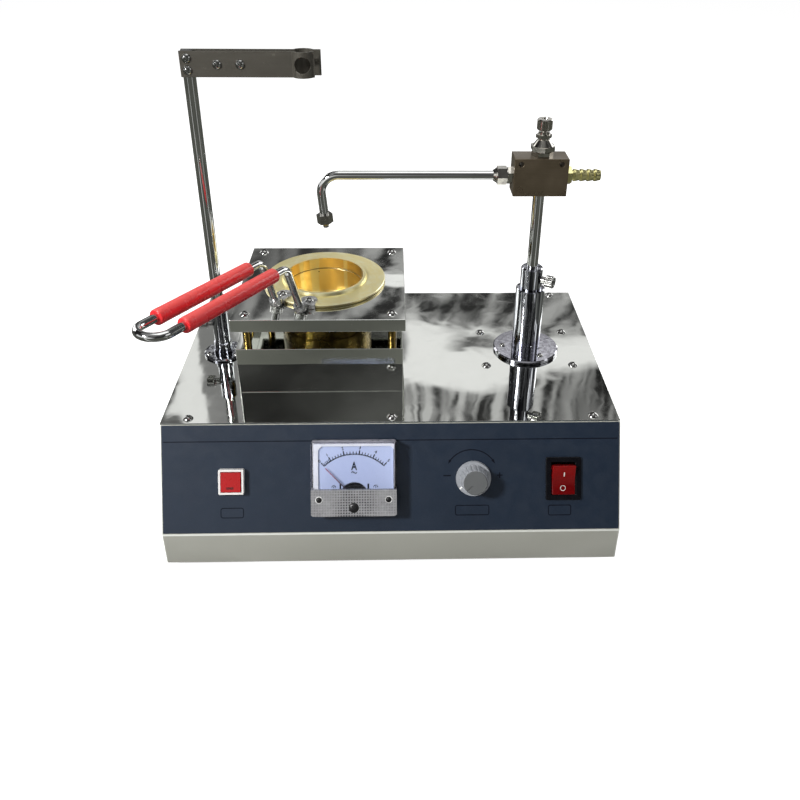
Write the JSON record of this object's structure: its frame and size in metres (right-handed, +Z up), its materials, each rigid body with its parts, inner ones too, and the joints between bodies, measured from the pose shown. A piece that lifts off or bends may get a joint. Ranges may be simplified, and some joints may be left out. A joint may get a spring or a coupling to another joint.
{
  "type": "flash point tester",
  "caption": "Bench tester with a sloped control panel, an electric furnace holding an open cup with a clamp-on handle, a swinging test flame arm and a thermometer post.",
  "frame": {"origin": "on the table, in the plane of the feet, under the middle of the whole instrument's box", "axes": "+Z up, +Y away from the user towards the rear wall, +X to the user's right"},
  "size_m": [0.35, 0.3026, 0.3653],
  "materials": {
    "beige_paint": "smooth satin powder coat",
    "zinc_plate": "zinc plated",
    "screw_steel": "bright plated",
    "foot_rubber": "matt",
    "panel_film": "printed satin film",
    "mirror_steel": "mirror polished stainless steel",
    "brass": "turned",
    "cup_brass": "fine turned, flange lapped",
    "former_ceramic": "matt fired ceramic",
    "heater_wire": "oxidised",
    "chrome_rod": "chrome plated",
    "sleeve_red": "soft vinyl",
    "column_chrome": "chrome plated",
    "steel": "ground",
    "motor_case": "plain",
    "block_bronze": "brown-grey anodised",
    "fitting_dark": "dark plated",
    "arm_grey": "olive-grey satin",
    "meter_black": "moulded",
    "dial_white": "white printed plate",
    "needle_red": "thin paint",
    "meter_clear": "clear polystyrene",
    "meter_grey": "fine dotted texture",
    "frame_white": "gloss",
    "cap_red": "gloss",
    "pot_case": "moulded",
    "knob_grey": "satin",
    "switch_black": "gloss",
    "rocker_red": "translucent",
    "board_green": "glass epoxy",
    "inlet_black": "moulded"
  },
  "bodies": {
    "base": {"housing_shell": "beige_paint", "bottom_plate": "zinc_plate", "bottom_screws": "screw_steel", "rubber_feet": "foot_rubber", "foot_screws": "screw_steel", "front_panel": "panel_film", "top_plate": "mirror_steel", "top_plate_screws": "screw_steel", "furnace_box": "mirror_steel", "furnace_cover": "mirror_steel", "cover_standoffs": "brass", "cover_screws": "screw_steel", "heating_plate": "brass", "heater_former": "former_ceramic", "heater_coil": "heater_wire", "flame_column": "column_chrome", "column_screws": "screw_steel", "scan_motor": "motor_case", "motor_bracket": "zinc_plate", "bracket_spacers": "brass", "post_flange": "column_chrome", "post_screws": "screw_steel", "ammeter_case": "meter_black", "ammeter_dial": "dial_white", "ammeter_window": "meter_clear", "ammeter_band": "meter_grey", "ammeter_screws": "meter_black", "button_frame": "frame_white", "potentiometer": "pot_case", "switch_frame": "switch_black", "regulator_board": "board_green", "mains_inlet": "inlet_black", "fuse_holder": "inlet_black"},
    "cup_unit": {"cup": "cup_brass", "handle_clamps": "chrome_rod", "handle_screws": "screw_steel", "handle_rod": "chrome_rod", "handle_sleeves": "sleeve_red"},
    "flame_spindle": {"spindle": "column_chrome", "shaft_coupling": "steel", "motor_shaft": "steel"},
    "flame_arm": {"flame_rod": "chrome_rod", "gas_block": "block_bronze", "hose_barb": "brass", "tube_fitting": "fitting_dark", "flame_tube": "chrome_rod", "nozzle": "fitting_dark", "valve_body": "fitting_dark"},
    "flame_clamp": {"flame_thumbscrew": "screw_steel"},
    "gas_valve": {"valve_knob": "fitting_dark"},
    "post_sleeve": {"post_tube": "column_chrome"},
    "post_clamp": {"post_thumbscrew": "screw_steel"},
    "thermometer_arm": {"thermometer_rod": "chrome_rod", "front_leaf": "arm_grey", "rear_leaf": "arm_grey", "leaf_screws": "screw_steel"},
    "meter_needle": {"ammeter_needle": "needle_red"},
    "heat_dial": {"heat_knob": "knob_grey"},
    "power_switch": {"power_rocker": "rocker_red"},
    "scan_button": {"button_cap": "cap_red"}
  },
  "joints": [
    {"name": "flame_swing", "type": "hinge", "parent": "base", "child": "flame_spindle", "pos_m": [0.1167, 0.033, 0.15], "axis": [0, 0, 1], "range_deg": [-35, 35]},
    {"name": "flame_height", "type": "slide", "parent": "flame_spindle", "child": "flame_arm", "axis": [0, 0, 1], "range_m": [-0.034, 0.025]},
    {"name": "flame_clamp_turn", "type": "hinge", "parent": "flame_spindle", "child": "flame_clamp", "pos_m": [0.12895, 0.02621, 0.182], "axis": [0.8746, -0.4848, 0], "range_deg": [0, 360]},
    {"name": "gas_valve_turn", "type": "hinge", "parent": "flame_arm", "child": "gas_valve", "pos_m": [0.1167, 0.033, 0.31], "axis": [0, 0, 1], "range_deg": [0, 720]},
    {"name": "cup_lift", "type": "slide", "parent": "base", "child": "cup_unit", "axis": [0, 0, 1], "range_m": [0, 0.035]},
    {"name": "thermometer_swing", "type": "hinge", "parent": "base", "child": "post_sleeve", "pos_m": [-0.1443, 0.0293, 0.15], "axis": [0, 0, 1], "range_deg": [-100, 100]},
    {"name": "thermometer_height", "type": "slide", "parent": "post_sleeve", "child": "thermometer_arm", "axis": [0, 0, 1], "range_m": [-0.03, 0.02]},
    {"name": "post_clamp_turn", "type": "hinge", "parent": "post_sleeve", "child": "post_clamp", "pos_m": [-0.1573, 0.0293, 0.143], "axis": [1, 0, 0], "range_deg": [0, 360]},
    {"name": "needle_swing", "type": "hinge", "parent": "base", "child": "meter_needle", "pos_m": [-0.0287, -0.10425, 0.06646], "axis": [0, 0.8897, -0.4566], "range_deg": [0, 88], "stiffness_Nm_per_rad": 0.0002},
    {"name": "heat_knob_turn", "type": "hinge", "parent": "base", "child": "heat_dial", "pos_m": [0.062, -0.09961, 0.07768], "axis": [0, 0.8897, -0.4566], "range_deg": [0, 270]},
    {"name": "power_rock", "type": "hinge", "parent": "base", "child": "power_switch", "pos_m": [0.1307, -0.09348, 0.07386], "axis": [-1, 0, 0], "range_deg": [0, 20]},
    {"name": "scan_press", "type": "slide", "parent": "base", "child": "scan_button", "axis": [0, 0.8897, -0.4566], "range_m": [0, 0.0025], "stiffness_N_per_m": 200}
  ]
}
